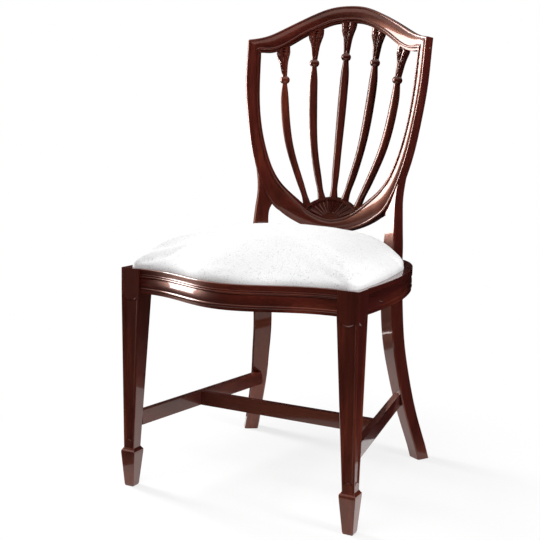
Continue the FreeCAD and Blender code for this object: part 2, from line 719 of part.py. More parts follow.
def cushion_solid(inset, z0):
    """Crowned form on straight sides, set in on every side and on top by one distance, cut flat at z0."""
    size = inset_scale(inset)
    base = RAIL_TOP + SIDE_STRIP
    rise = CROWN_Z - inset - base
    wires = [seat_outline(size, min(z0, FRAME_Z))]
    wires += [seat_outline(scale * size, base + rise * share) for share, scale in CUSHION_PROFILE]
    form = Part.makeLoft(wires, True, True)
    if z0 <= FRAME_Z:
        return form
    return form.common(box_between(-400, 400, -400, 400, z0, CROWN_Z + 10))


def seat_frame_parts():
    outline = seat_prism(COVER_THICK + SOFT_GAP, FRAME_Z, FRAME_Z + SEAT_FRAME_THICK)
    inner_x = SEAT_SIDE_END[0] - SEAT_FRAME_WIDE
    front_y = FRONT_RAIL_Y + SEAT_LIP + SEAT_FRAME_WIDE - 12.0
    back_y_in = SEAT_REAR_END[1] - SEAT_FRAME_WIDE + 8.0
    z0 = FRAME_Z - 1
    z1 = FRAME_Z + SEAT_FRAME_THICK + 1
    front = outline.common(box_between(-400, 400, -400, front_y, z0, z1))
    back = outline.common(box_between(-400, 400, back_y_in, 400, z0, z1))
    right = outline.common(box_between(inner_x, 400, front_y, back_y_in, z0, z1))
    return front, back, right, (inner_x, front_y, back_y_in)


def webbing(window):
    """Three strips front to back and three across, laid over the loose frame."""
    inner_x, front_y, back_y_in = window
    lap = SEAT_FRAME_WIDE * 0.6
    solids = []
    for i in (-1, 0, 1):
        x = i * inner_x * 0.58
        solids.append(box_between(x - WEBBING_WIDE / 2, x + WEBBING_WIDE / 2, front_y - lap * 0.7,
                                  back_y_in + lap * 0.7, WEBBING_Z, WEBBING_Z + WEBBING_THICK))
        y = (front_y + back_y_in) / 2 + i * (back_y_in - front_y) * 0.3
        z = WEBBING_Z + WEBBING_THICK
        solids.append(box_between(-inner_x - lap, inner_x + lap, y - WEBBING_WIDE / 2,
                                  y + WEBBING_WIDE / 2, z, z + WEBBING_THICK))
    return solids


def tacks(window):
    """Tack heads that hold the dust cover to the underside of the loose frame."""
    inner_x, front_y, back_y_in = window
    z = SEAT_BOTTOM_Z - TACK_THICK
    x = inner_x + 10.0
    spots = []
    for i in range(-3, 4):
        spots.append((i * x / 3.4, front_y - 8.0))
        spots.append((i * x / 3.4, back_y_in + 8.0))
    for i in range(5):
        y = front_y + 22.0 + i * (back_y_in - front_y - 44.0) / 4
        spots.append((x, y))
        spots.append((-x, y))
    return [Part.makeCylinder(TACK_RADIUS, TACK_THICK, V(px, py, z)) for px, py in spots]


# Glue blocks and screws

def block_levels():
    return RAIL_BOTTOM + BLOCK_LIFT, POCKET_Z - BLOCK_GAP_BELOW_POCKET


def front_block_plan():
    return [(138.0, -214.0), (233.0, -214.0), (233.0, -108.0)]


def rear_block_plan():
    return [(100.0, 168.0), (100.0, 198.0), (190.0, 190.0), (215.0, 120.0), (215.0, 58.0)]


def wood_screw(head, way):
    """Countersunk screw: head on the block's slanted face, point in the rail or post."""
    way = way.normalize()
    cone = Part.makeCone(SCREW_HEAD, SCREW_SHANK, SCREW_HEAD - SCREW_SHANK, head, way)
    shank = Part.makeCylinder(SCREW_SHANK, SCREW_LENGTH - 8.0, head, way)
    tip = Part.makeCone(SCREW_SHANK, 0.4, 8.0, head + way * (SCREW_LENGTH - 8.0), way)
    return cone.fuse(shank).fuse(tip)


def block_screws():
    low, high = block_levels()
    z = (low + high) / 2
    fronts = [(V(165.0, -184.0, z), V(0.1, -1, 0)), (V(213.0, -130.5, z), V(1, -0.15, 0))]
    rears = [(V(128.0, 139.2, z), V(0.15, 1, 0)), (V(190.0, 75.4, z), V(1, 0.2, 0))]
    screws = [wood_screw(head, way) for head, way in fronts + rears]
    return screws + [mirrored(s) for s in screws]


def cut_all(shape, tools):
    for tool in tools:
        shape = shape.cut(tool)
    return shape


def build():
    pieces = {}
    pocket = seat_prism(-POCKET_CLEARANCE, POCKET_Z, RAIL_TOP + 20)

    # Blanks
    leg = front_leg_blank()
    front_rail = front_rail_blank()
    side_rail, rear_rail = side_and_rear_blanks()
    post = post_blank()
    stile = stile_blank()
    crest = crest_blank()
    bottom = bottom_rail_blank()
    back_post = biggest(post.fuse(stile))

    # Stretchers and their mortises
    side_body, side_tenons = side_stretcher_parts()
    cross_body, cross_tenon = cross_stretcher_parts()
    stretcher = biggest(side_body.cut(leg).cut(back_post)).fuse(side_tenons).removeSplitter()
    cross = cross_body.cut(side_body).cut(mirrored(side_body))
    cross = biggest(cross.Solids[0] if len(cross.Solids) == 1 else cross).fuse(cross_tenon).removeSplitter()
    stretcher = stretcher.cut(cross_tenon)

    # Seat rails
    tenon_f = front_tenon()
    tenon_s = side_tenon_front()
    screws = block_screws()
    posts = [back_post, mirrored(back_post)]
    legs_cutters = [tenon_f, tenon_s, side_tenons, pocket]
    front = front_rail.fuse(tenon_f).fuse(mirrored(tenon_f)).removeSplitter()
    front = cut_all(front, [pocket] + screws)
    side = biggest(side_rail.fuse(tenon_s).removeSplitter().cut(pocket).cut(back_post))
    rear = biggest(cut_all(rear_rail, [pocket] + posts))
    side = cut_all(side, screws)
    rear = cut_all(rear, screws)
    leg_done = cut_all(leg, legs_cutters)

    # Glue blocks
    low, high = block_levels()
    front_block = cut_all(prism(front_block_plan(), low, high), [front_rail, side_rail, leg] + screws)
    rear_block = cut_all(prism(rear_block_plan(), low, high), [side_rail, rear_rail, back_post] + screws)

    # Shield
    dowels = shield_dowels()
    crest_done = cut_all(crest, dowels)
    bottom_done = cut_all(bottom, dowels)
    post_done = cut_all(back_post, [side_tenons] + dowels + screws)
    lunette = biggest(lunette_blank().cut(bottom))

    pieces["front_leg_right"] = biggest(leg_done)
    pieces["front_leg_left"] = mirrored(pieces["front_leg_right"])
    pieces["back_post_right"] = biggest(post_done)
    pieces["back_post_left"] = mirrored(pieces["back_post_right"])
    pieces["front_seat_rail"] = biggest(front)
    pieces["side_seat_rail_right"] = biggest(side)
    pieces["side_seat_rail_left"] = mirrored(pieces["side_seat_rail_right"])
    pieces["rear_seat_rail"] = biggest(rear)
    pieces["side_stretcher_right"] = biggest(stretcher)
    pieces["side_stretcher_left"] = mirrored(pieces["side_stretcher_right"])
    pieces["cross_stretcher"] = biggest(cross)
    pieces["crest_rail"] = biggest(crest_done)
    pieces["shield_bottom_rail"] = biggest(bottom_done)
    pieces["lunette"] = lunette
    around_splats = [crest, bottom, fan_prism(LUNETTE_RADIUS)]
    pieces["splat_centre"] = biggest(cut_all(splat_blank("centre"), around_splats))
    for kind in ("inner", "outer"):
        splat = biggest(cut_all(splat_blank(kind), around_splats))
        pieces["splat_%s_right" % kind] = splat
        pieces["splat_%s_left" % kind] = mirrored(splat)
    pieces["corner_block_front_right"] = biggest(front_block)
    pieces["corner_block_front_left"] = mirrored(pieces["corner_block_front_right"])
    pieces["corner_block_rear_right"] = biggest(rear_block)
    pieces["corner_block_rear_left"] = mirrored(pieces["corner_block_rear_right"])
    pieces["corner_block_screws"] = Part.makeCompound(screws)
    pieces["shield_dowels"] = Part.makeCompound(dowels)

    # Drop-in seat
    frame_front, frame_back, frame_side, window = seat_frame_parts()
    pieces["seat_frame_front"] = biggest(frame_front)
    pieces["seat_frame_back"] = biggest(frame_back)
    pieces["seat_frame_right"] = biggest(frame_side)
    pieces["seat_frame_left"] = mirrored(pieces["seat_frame_right"])
    pieces["seat_webbing"] = Part.makeCompound(webbing(window))
    margin = COVER_THICK + SOFT_GAP
    pieces["seat_hessian"] = seat_prism(margin + 6.0, HESSIAN_Z, HESSIAN_Z + HESSIAN_THICK)
    pieces["seat_pad"] = cushion_solid(margin, PAD_Z)
    cover = cushion_solid(0.0, FRAME_Z).cut(cushion_solid(COVER_THICK, FRAME_Z - 1.0))
    pieces["seat_cover"] = biggest(cover)
    pieces["dust_cover"] = seat_prism(margin + 5.0, SEAT_BOTTOM_Z, FRAME_Z)
    pieces["cover_tacks"] = Part.makeCompound(tacks(window))
    return pieces


def centred(pieces):
    """Move everything together so that the origin lies on the floor under the chair's middle."""
    boxes = [shape.optimalBoundingBox(False, False) for shape in pieces.values()]
    low = min(b.YMin for b in boxes)
    high = max(b.YMax for b in boxes)
    shift = V(0, -(low + high) / 2, 0)
    print("shift", round(shift.y, 3))
    for shape in pieces.values():
        shape.translate(shift)
    return pieces


os.makedirs("parts", exist_ok=True)
for name, shape in centred(build()).items():
    box = shape.optimalBoundingBox(False, False)
    print("%-26s solids %2d faces %3d valid %s  x %.1f %.1f y %.1f %.1f z %.1f %.1f" % (
        name, len(shape.Solids), len(shape.Faces), shape.isValid(),
        box.XMin, box.XMax, box.YMin, box.YMax, box.ZMin, box.ZMax))
    shape.exportStep("parts/%s.step" % name)
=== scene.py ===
# %% [markdown]
# # A shield back dining chair with a drop-in seat
# The chair's frame comes from the workshop drawing as solid pieces, already in place and in metres.
# Here each piece gets its finish: French polished mahogany outside, bare beech where the seat hides it.
# The soft parts of the seat are built again as cloth, because a plain solid can't show a stuffed cushion.

import math

import bpy
import numpy as np
from mathutils import Matrix, Vector, noise


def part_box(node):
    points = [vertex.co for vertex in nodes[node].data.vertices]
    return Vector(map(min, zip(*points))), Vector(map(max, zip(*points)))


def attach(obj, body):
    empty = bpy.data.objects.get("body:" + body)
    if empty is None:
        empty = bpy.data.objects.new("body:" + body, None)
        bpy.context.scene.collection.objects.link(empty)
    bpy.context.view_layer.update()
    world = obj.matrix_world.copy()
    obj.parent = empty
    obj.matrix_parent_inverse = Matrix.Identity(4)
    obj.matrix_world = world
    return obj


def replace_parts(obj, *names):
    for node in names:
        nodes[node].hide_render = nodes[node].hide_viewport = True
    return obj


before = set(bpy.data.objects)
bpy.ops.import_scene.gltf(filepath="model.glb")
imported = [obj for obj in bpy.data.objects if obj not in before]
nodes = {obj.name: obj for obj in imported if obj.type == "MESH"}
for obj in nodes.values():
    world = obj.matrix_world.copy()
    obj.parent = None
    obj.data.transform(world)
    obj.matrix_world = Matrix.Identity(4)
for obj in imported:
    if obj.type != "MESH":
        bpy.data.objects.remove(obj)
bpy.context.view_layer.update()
print("pieces in the frame:", len(nodes))

# %% [markdown]
# ## Writing shader maths as plain sums
# A finish is a network of small nodes, and most of them only add, multiply or compare two values.
# Wrapping a socket in a class lets those be written as ordinary expressions, so that `1 - pores` works.
# Every other node comes from one method, which takes the node's type, its settings and its inputs.

# %% A socket that can be added and multiplied
class Value:
    """One output socket of a finish's network, used like a number."""

    def __init__(self, finish, socket):
        self.finish = finish
        self.socket = socket

    def math(self, operation, *others):
        inputs = dict(enumerate((self,) + others))
        return self.finish.node("ShaderNodeMath", {"operation": operation}, inputs)

    def __add__(self, other):
        return self.math("ADD", other)

    def __mul__(self, other):
        return self.math("MULTIPLY", other)

    def __sub__(self, other):
        return self.math("SUBTRACT", other)

    def __rsub__(self, other):
        return self.finish.node("ShaderNodeMath", {"operation": "SUBTRACT"}, {0: other, 1: self})

    __radd__ = __add__
    __rmul__ = __mul__

    def clamp(self):
        return self.finish.node("ShaderNodeClamp", {}, {"Value": self})

    def steps(self, *stops):
        """Reads this value off a ramp of (position, colour) stops."""
        return self.finish.node("ShaderNodeValToRGB", {"stops": stops}, {"Fac": self})

    def between(self, low, high):
        """0 below low, 1 above high, and a smooth rise from one to the other."""
        settings = {"interpolation_type": "SMOOTHSTEP"}
        return self.finish.node("ShaderNodeMapRange", settings,
                                {"Value": self, "From Min": low, "From Max": high})


print("ways to use a socket:", [name for name in dir(Value) if not name.startswith("_")])

# %% [markdown]
# The second class holds the network itself. Its `node` method makes any node, and the short methods after it
# name the few that come back in every finish: a mix of two colours, a cloud of noise, a bump.

# %% A finish that makes its own nodes
class Finish:
    """A material, or the studio's world, and the few ways in which its network is put together."""

    def __init__(self, name, world=False):
        self.material = (bpy.data.worlds if world else bpy.data.materials).new(name)
        self.material.use_nodes = True
        self.tree = self.material.node_tree
        self.tree.nodes.clear()

    def node(self, kind, settings, inputs, output=0):
        made = self.tree.nodes.new(kind)
        for key, value in settings.items():
            if key == "stops":
                self.set_stops(made.color_ramp, value)
            else:
                setattr(made, key, value)
        for key, value in inputs.items():
            if isinstance(value, Value):
                self.tree.links.new(value.socket, made.inputs[key])
            else:
                made.inputs[key].default_value = value
        return Value(self, made.outputs[output]) if len(made.outputs) else made

    def set_stops(self, ramp, stops):
        while len(ramp.elements) < len(stops):
            ramp.elements.new(0.5)
        for element, (place, colour) in zip(ramp.elements, stops):
            element.position = place
            element.color = colour + (1,)

    def colours(self, factor, first, second):
        """Mixes two colours, from first at factor 0 to second at factor 1."""
        first = first if isinstance(first, Value) else tuple(first) + (1,)
        second = second if isinstance(second, Value) else tuple(second) + (1,)
        return self.node("ShaderNodeMix", {"data_type": "RGBA"}, {0: factor, 6: first, 7: second}, 2)

    def place(self, stretch=(1, 1, 1)):
        """Position on the piece in metres, stretched for grain or weave."""
        position = self.node("ShaderNodeNewGeometry", {}, {}, "Position")
        return self.node("ShaderNodeMapping", {"vector_type": "POINT"}, {"Vector": position, "Scale": stretch})

    def along_grain(self, across, along, axis):
        """Position stretched by one number across the grain and by another along it."""
        stretch = [across] * 3
        stretch[axis] = along
        return self.place(tuple(stretch))

    def cloud(self, where, scale, detail=4.0, rough=0.55, warp=0.0):
        return self.node("ShaderNodeTexNoise", {"noise_dimensions": "3D"},
                         {"Vector": where, "Scale": scale, "Detail": detail, "Roughness": rough,
                          "Distortion": warp})

    def bump(self, height, distance, strength=1.0):
        return self.node("ShaderNodeBump", {}, {"Height": height, "Distance": distance, "Strength": strength})

    def surface(self, **sockets):
        """Ends the network in one Principled shader."""
        inputs = {key.replace("_", " "): value for key, value in sockets.items()}
        shader = self.node("ShaderNodeBsdfPrincipled", {}, inputs)
        self.node("ShaderNodeOutputMaterial", {}, {"Surface": shader})
        print("finish", self.material.name, "has", len(self.tree.nodes), "nodes")
        return self.material


print("ways to make a finish:", [name for name in dir(Finish) if not name.startswith("_")])

# %% [markdown]
# ## Mahogany under French polish
# Mahogany is cut so that its grain runs along each member, or the member would snap.
# The stain is a deep red-brown, with darker streaks, short dark pores and a slow drift in tone.
# A picture of wood could be wrapped round each piece, but it would show seams where members meet.
# A solid texture is worked out from the place in space instead, and runs through each piece like real grain.
# The polish is a clear coat: thin, glassy and a little uneven. Below it the amber shellac gives a second,
# broad and warm shine, which is why the bright side of such a chair glows orange.

# %% Mahogany whose grain runs along one direction
DARK_STREAK = (0.012, 0.0018, 0.0018)
RED_BROWN = (0.056, 0.0082, 0.0062)
WARM_STREAK = (0.175, 0.032, 0.014)
PORE_BROWN = (0.012, 0.002, 0.0015)
AMBER = (1.0, 0.32, 0.15, 1)

# How often each pattern repeats in a metre, across the grain and along it.
STREAKS = (22.0, 1.3)
LINES = (260.0, 7.0)
PORES = (900.0, 55.0)
TONE_DRIFT = 3.1
SMEARS = 26.0
RIPPLES = 140.0

RIPPLE_DEPTH = 0.00006
SMOOTHEST = 0.27
COAT_ROUGHNESS = 0.06
COAT_IOR = 1.42
SHELLAC_IOR = 1.7


def mahogany(name, axis):
    """axis is 0, 1 or 2: the grain follows X, Y or Z."""
    wood = Finish(name)
    streaks = wood.cloud(wood.along_grain(*STREAKS, axis), 1.0, 5.0, 0.62, 0.35)
    lines = wood.cloud(wood.along_grain(*LINES, axis), 1.0, 3.0, 0.6)
    pores = wood.cloud(wood.along_grain(*PORES, axis), 1.0, 1.0).between(0.60, 0.72)
    drift = wood.cloud(wood.place(), TONE_DRIFT, 2.0)
    tone = (streaks * 0.62 + lines * 0.24 + drift * 0.30 - 0.08).clamp()
    colour = tone.steps((0.34, DARK_STREAK), (0.54, RED_BROWN), (0.76, WARM_STREAK))
    colour = wood.colours(pores * 0.45, colour, PORE_BROWN)
    smear = wood.cloud(wood.place(), SMEARS, 3.0)
    ripple = wood.cloud(wood.place(), RIPPLES, 2.0)
    polish = wood.bump(ripple + lines * 0.5, RIPPLE_DEPTH, 0.6)
    return wood.surface(Base_Color=colour, Roughness=smear * 0.2 + SMOOTHEST, Coat_Weight=1 - pores * 0.35,
                        Coat_Roughness=COAT_ROUGHNESS, Coat_IOR=COAT_IOR, IOR=SHELLAC_IOR,
                        Specular_Tint=AMBER, Normal=polish)


grain_across = mahogany("polished_mahogany_across", 0)
grain_deep = mahogany("polished_mahogany_deep", 1)
grain_up = mahogany("polished_mahogany_upright", 2)

# %% [markdown]
# ## Hidden wood and metal
# The corner blocks, the dowels and the loose seat frame are plain beech, because nobody sees them.
# Beech is pale and fine, with short brown flecks, and it has no polish.
# The screws are bright turned steel, and the tacks are blued so that they hardly rust.

# %% Beech and steel
BEECH_STOPS = ((0.32, (0.36, 0.22, 0.11)), (0.55, (0.53, 0.37, 0.21)), (0.75, (0.62, 0.47, 0.30)))
BEECH_FLECK = (0.24, 0.12, 0.05)
BEECH_RINGS = (60.0, 9.0)
BEECH_FLECKS = (700.0, 60.0)
RUST = (0.10, 0.045, 0.02)
LATHE_MARKS = (900.0, 120.0)
UPRIGHT = 2


def bare_beech():
    wood = Finish("bare_beech")
    rings = wood.cloud(wood.along_grain(*BEECH_RINGS, 0), 1.0, 4.0, 0.6, 0.3)
    flecks = wood.cloud(wood.along_grain(*BEECH_FLECKS, 0), 1.0, 1.0).between(0.62, 0.70)
    colour = wood.colours(flecks * 0.6, rings.steps(*BEECH_STOPS), BEECH_FLECK)
    return wood.surface(Base_Color=colour, Roughness=rings * 0.2 + 0.55,
                        Normal=wood.bump(rings + flecks * -0.5, 0.0001))


def steel(name, light, dark, rough):
    metal = Finish(name)
    lathe = metal.cloud(metal.along_grain(*LATHE_MARKS, UPRIGHT), 1.0, 2.0)
    rust = metal.cloud(metal.place(), 160.0, 4.0).between(0.62, 0.78)
    colour = metal.colours(rust * 0.7, metal.colours(lathe, dark, light), RUST)
    return metal.surface(Base_Color=colour, Metallic=1 - rust * 0.8,
                         Roughness=lathe * 0.2 + rust * 0.3 + rough)


beech = bare_beech()
screw_steel = steel("turned_screw_steel", (0.56, 0.55, 0.53), (0.34, 0.33, 0.32), 0.22)
tack_steel = steel("blued_tack_steel", (0.12, 0.13, 0.16), (0.03, 0.03, 0.04), 0.30)

# %% [markdown]
# ## Which piece gets which finish
# The grain follows the length of each member: upright in legs, posts and splats, across in the crest,
# the shield's foot and the front and rear rails, and front to back in the side rails and stretchers.

# %% Dress the wooden and metal pieces
GRAIN_UP = ["front_leg", "back_post", "splat"]
GRAIN_ACROSS = ["crest_rail", "shield_bottom_rail", "front_seat_rail", "rear_seat_rail", "cross_stretcher",
                "lunette"]
GRAIN_DEEP = ["side_seat_rail", "side_stretcher"]
HIDDEN_WOOD = ["corner_block_front", "corner_block_rear", "shield_dowels", "seat_frame"]
DRESS = [(GRAIN_UP, grain_up), (GRAIN_ACROSS, grain_across), (GRAIN_DEEP, grain_deep),
         (HIDDEN_WOOD, beech), (["corner_block_screws"], screw_steel), (["cover_tacks"], tack_steel)]


def dress(piece, finish):
    piece.data.materials.clear()
    piece.data.materials.append(finish)


for starts, finish in DRESS:
    dressed = [name for name in nodes if name.startswith(tuple(starts))]
    for name in dressed:
        dress(nodes[name], finish)
    print(finish.name, "on", len(dressed), "pieces")

# %% [markdown]
# ## Carving on the shield
# Each splat ends in a carved capital: two fluted leaves under a narrow moulded strip. The carver works these
# with small gouges after the shield is glued up. The fluted swell is already in the solid, and the leaves are
# less than two millimetres high, so they are laid over it here as thin ridges.

# %% Helpers for pieces that are built here
def new_piece(name, vertices, faces, finish, body):
    mesh = bpy.data.meshes.new(name)
    mesh.from_pydata([tuple(v) for v in vertices], [], faces)
    mesh.update()
    piece = bpy.data.objects.new(name, mesh)
    bpy.context.scene.collection.objects.link(piece)
    mesh.materials.append(finish)
    for face in mesh.polygons:
        face.use_smooth = True
    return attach(piece, body)


def joined_rings(count, around, closed=True):
    """Quads between neighbouring rings of points, each ring with the same number of points."""
    faces = []
    for k in range(count - 1):
        for i in range(around if closed else around - 1):
            j = (i + 1) % around
            faces.append((k * around + i, k * around + j, (k + 1) * around + j, (k + 1) * around + i))
    return faces


print("a tube of 3 rings of 8 points has", len(joined_rings(3, 8)), "faces")

# %% [markdown]
# A ridge has to lie on its capital. So a ray is shot from before the chair onto the splat: where it hits is
# the capital's front, and stepping sideways until it misses gives the capital's width at that height.

# %% Find the carved front of a splat
SHIELD_PIECES = ["splat_centre", "splat_inner_left", "splat_inner_right", "splat_outer_left",
                 "splat_outer_right"]
EDGE_STEP = 0.0005
WIDEST_HALF = 0.03
SCAN_STEP = 0.0008


def front_of(piece, x, z):
    """Point and outward direction where a line from the front meets a piece, or None beside it."""
    hit, point, normal, face = piece.ray_cast(Vector((x, -1, z)), Vector((0, 1, 0)))
    return (point, normal) if hit else None


def width_at(piece, z, middle):
    """Left and right edge of a piece's front at a height, found by stepping outwards."""
    edges = []
    for side in (-1, 1):
        x = middle
        while front_of(piece, x + side * EDGE_STEP, z) and abs(x - middle) < WIDEST_HALF:
            x += side * EDGE_STEP
        edges.append(x)
    return edges


def middle_at(piece, z):
    """Middle of a splat's front at a height."""
    low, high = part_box(piece.name)
    hits = [x for x in np.arange(low.x, high.x, SCAN_STEP) if front_of(piece, x, z)]
    return (hits[0] + hits[-1]) / 2 if hits else None


print("front of the middle splat:", round(front_of(nodes["splat_centre"], 0.004, 0.9)[0].y, 4))

# %% [markdown]
# Each leaf has three veins that spread as they rise, and four short curls that turn out under the strip.

# %% Leaves and strips
RIDGE_WIDE = 0.0020
RIDGE_HIGH = 0.0017
RIDGE_SINK = 0.0004
RIDGE_SHOULDER = (0.32, 0.62)

CAPITAL_TOP = 0.004
LEAF_FOOT = 0.056
LEAF_HEIGHT = 0.046
LEAF_HEAD = 0.012
VEINS = ((0.12, 0.20, 0.0), (0.28, 0.52, 0.004), (0.40, 0.84, 0.009))
VEIN_BEND = 1.6
VEIN_POINTS = 15

CURLS = 4
CURL_FOOT = 0.020
CURL_HEIGHT = 0.011
CURL_FALL = 0.003
CURL_START = 0.16
CURL_SPACING = 0.20
CURL_REACH = 0.16
CURL_LIMIT = 0.93
CURL_SIZE = (0.0026, 0.0022)
CURL_POINTS = 9

STRIP_DROP = 0.0045
STRIP_INSET = 0.0006
STRIP_SIZE = (0.0036, 0.0024)
STRIP_POINTS = 15


def ridge(piece, path, wide=RIDGE_WIDE, high=RIDGE_HIGH):
    """Rounded ridge over a piece's front along a path of (x, z), tapered at both ends."""
    rows = []
    for k, (x, z) in enumerate(path):
        found = front_of(piece, x, z)
        if found is not None:
            rows.append((found[0], found[1], k / (len(path) - 1)))
    out, up = RIDGE_SHOULDER
    sunk = -RIDGE_SINK / high
    vertices = []
    for k, (point, normal, t) in enumerate(rows):
        ahead = rows[min(k + 1, len(rows) - 1)][0] - rows[max(k - 1, 0)][0]
        side = normal.cross(ahead).normalized()
        swell = math.sin(math.pi * min(1, max(0, t))) ** 0.45 + 0.05
        for u, v in ((-0.5, sunk), (-out, up), (0, 1.0), (out, up), (0.5, sunk)):
            rise = v * high * (swell if v > 0 else 1)
            vertices.append(point + side * (u * wide * swell) + normal * rise)
    return vertices, joined_rings(len(rows), 5, False) if len(rows) > 2 else []


def gather(parts):
    vertices, faces = [], []
    for more, quads in parts:
        faces += [tuple(len(vertices) + i for i in quad) for quad in quads]
        vertices += more
    return vertices, faces


def half_path(piece, side, stations):
    """Path over one half of a capital, from stations of (middle, height, share of the half's width)."""
    path = []
    for middle, z, share in stations:
        left, right = width_at(piece, z, middle)
        half = (right - left) / 2
        path.append(((left + right) / 2 + side * half * share, z))
    return path


def vein(top, low_x, high_x, foot, head, drop):
    """Stations of a vein, from its share of the width at the foot to that at the head."""
    return [(low_x + (high_x - low_x) * t, top - LEAF_FOOT + (LEAF_HEIGHT - drop) * t,
             foot + (head - foot) * t ** VEIN_BEND) for t in np.linspace(0, 1, VEIN_POINTS)]


def curl(top, high_x, rank):
    stations = []
    for t in np.linspace(0, 1, CURL_POINTS):
        z = top - CURL_FOOT + CURL_HEIGHT * t - CURL_FALL * rank * (1 - t)
        share = CURL_START + CURL_SPACING * rank + CURL_REACH * math.sin(math.pi * t * 0.5)
        stations.append((high_x, z, min(share, CURL_LIMIT)))
    return stations


def capital_leaves(piece):
    """Veins on both leaves of a capital, curls under the strip, and the strip itself."""
    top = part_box(piece.name)[1].z - CAPITAL_TOP
    low_x = middle_at(piece, top - LEAF_FOOT)
    high_x = middle_at(piece, top - LEAF_HEAD)
    parts = []
    for side in (-1, 1):
        for shares in VEINS:
            parts.append(ridge(piece, half_path(piece, side, vein(top, low_x, high_x, *shares))))
        for rank in range(CURLS):
            parts.append(ridge(piece, half_path(piece, side, curl(top, high_x, rank)), *CURL_SIZE))
    left, right = width_at(piece, top - STRIP_DROP, high_x)
    across = np.linspace(left + STRIP_INSET, right - STRIP_INSET, STRIP_POINTS)
    parts.append(ridge(piece, [(x, top - STRIP_DROP) for x in across], *STRIP_SIZE))
    return parts


def carve_shield():
    parts = []
    for name in SHIELD_PIECES:
        parts += capital_leaves(nodes[name])
    vertices, faces = gather(parts)
    return new_piece("capital_carving", vertices, faces, grain_up, "chair_frame")


carving = carve_shield()
print("carving on the capitals: %d faces" % len(carving.data.polygons))

# %% [markdown]
# ## The line of the seat
# The drop-in seat follows the rails: bowed in front, tight at the front corners, round at the back.
# Its outline could be drawn again, but the sheet of hessian under the stuffing already has it.
# So the outline is read from that sheet, spread to the cover's own width, and cut into equal steps.

# %% Read the outline of the seat
AROUND = 280


def seat_line(count):
    """The cover's outline as count points, evenly spaced, and the point that it shrinks towards."""
    corners = np.array([v.co for v in nodes["seat_hessian"].data.vertices])
    rim = corners[corners[:, 2] > corners[:, 2].mean()][:, :2]
    low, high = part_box("seat_cover")
    inner_low, inner_high = rim.min(0), rim.max(0)
    spread = (high.x - low.x) / (inner_high[0] - inner_low[0])
    middle = (np.array(low.xy) - spread * inner_low) / (1 - spread)
    middle[0] = 0.0
    rim = middle + (rim - middle) * spread
    turn = np.arctan2(rim[:, 1] - middle[1], rim[:, 0])
    rim = rim[np.argsort(turn)]
    rim = np.vstack([rim, rim[:1]])
    step = np.linalg.norm(np.diff(rim, axis=0), axis=1)
    length = np.concatenate([[0], np.cumsum(step)])
    at = np.linspace(0, length[-1], count, endpoint=False)
    return np.stack([np.interp(at, length, rim[:, k]) for k in (0, 1)], 1), middle


seat_edge, seat_middle = seat_line(AROUND)
print("seat outline: %d points, shrinking towards y = %.3f m" % (len(seat_edge), seat_middle[1]))

# %% [markdown]
# ## Cloth and stuffing
# The top cover is an off-white furnishing cloth. Up close it is a plain weave with fine grey flecks,
# where darker fibres were spun into the yarn. The weave goes into a bump and into a painted shade in its
# hollows, and the flecks into the colour.
# Under the seat are jute webbing, hessian and a thin black lining.

# %% Finishes for the soft parts
# How often each pattern repeats in a metre.
SLUBS = 220.0
SPECKS = 430.0
PATCHES = 60.0
SHADES = 9.0
YARN_ROUGHNESS = 0.9


def woven(name, pale, shade, fleck_and_hollow_shade, pitch, flecked):
    """Plain weave of square pitch, in metres, whose yarn is flecked by a share from 0 to 1."""
    cloth = Finish(name)
    place = cloth.place()
    turn = math.pi / pitch
    parts = [cloth.node("ShaderNodeSeparateXYZ", {}, {"Vector": place}, k) for k in (0, 1)]
    warp, weft = [(part * turn).math("SINE") for part in parts]
    weave = warp * weft * 0.5 + 0.5
    slub = cloth.cloud(place, SLUBS, 3.0)
    specks = cloth.cloud(place, SPECKS, 2.0, 0.7).between(0.53, 0.68)
    patch = cloth.cloud(place, PATCHES, 3.0).between(0.35, 0.75)
    drift = cloth.cloud(place, SHADES, 2.0)
    colour = cloth.colours(drift, pale, shade)
    colour = cloth.colours(specks * (patch * 0.6 + 0.4) * flecked, colour, fleck_and_hollow_shade)
    # painted shade: where the weave's bump is low, the hollows between the yarns are darkened a little towards
    # the fleck colour
    colour = cloth.colours((1 - weave) * 0.10, colour, fleck_and_hollow_shade)
    relief = cloth.bump(weave + slub * 0.8, pitch * 0.16, 0.5)
    return cloth.surface(Base_Color=colour, Roughness=slub * 0.1 + YARN_ROUGHNESS - 0.05, Normal=relief,
                         Sheen_Weight=0.25, Sheen_Roughness=0.5, Specular_IOR_Level=0.2)


cover_cloth = woven("off_white_cover_cloth", (0.86, 0.86, 0.865), (0.82, 0.82, 0.825), (0.40, 0.385, 0.385),
                    0.0011, 0.8)
hessian_cloth = woven("hessian", (0.50, 0.37, 0.20), (0.42, 0.30, 0.16), (0.20, 0.12, 0.05),
                      0.0024, 0.6)
webbing_cloth = woven("jute_webbing", (0.60, 0.48, 0.30), (0.50, 0.39, 0.24), (0.25, 0.10, 0.05),
                      0.0020, 0.5)
lining_cloth = woven("black_lining", (0.022, 0.021, 0.021), (0.016, 0.015, 0.015), (0.06, 0.06, 0.06),
                     0.0008, 0.3)

# %% [markdown]
# ## The stuffed seat
# The cushion is cotton over horsehair, crowned in the middle, with its cover pulled down over the loose frame
# and tacked underneath. A plain dome would look like a balloon, so its sides stand straight for a finger's
# width above the rails first, and the crown rolls over from there.

# %% Build the cushion as rings from the tacked edge to the crown
STRAIGHT_SIDE = 0.017
CROWN_FLATNESS = 6.5
CROWN_SHOULDER = 1.6
ROLL_START = 0.006
ROLL_END = 0.945
ROLL_RINGS = 9
RINGS = 46
SEAT_HALF_WIDTH = 0.23
CROWN_RISE = 0.066
FINE_STEPS = 4000


def crown(share):
    """Height of the crown from 0 to 1, at a share of the way from the middle to the edge."""
    return (1 - share ** CROWN_FLATNESS) ** CROWN_SHOULDER


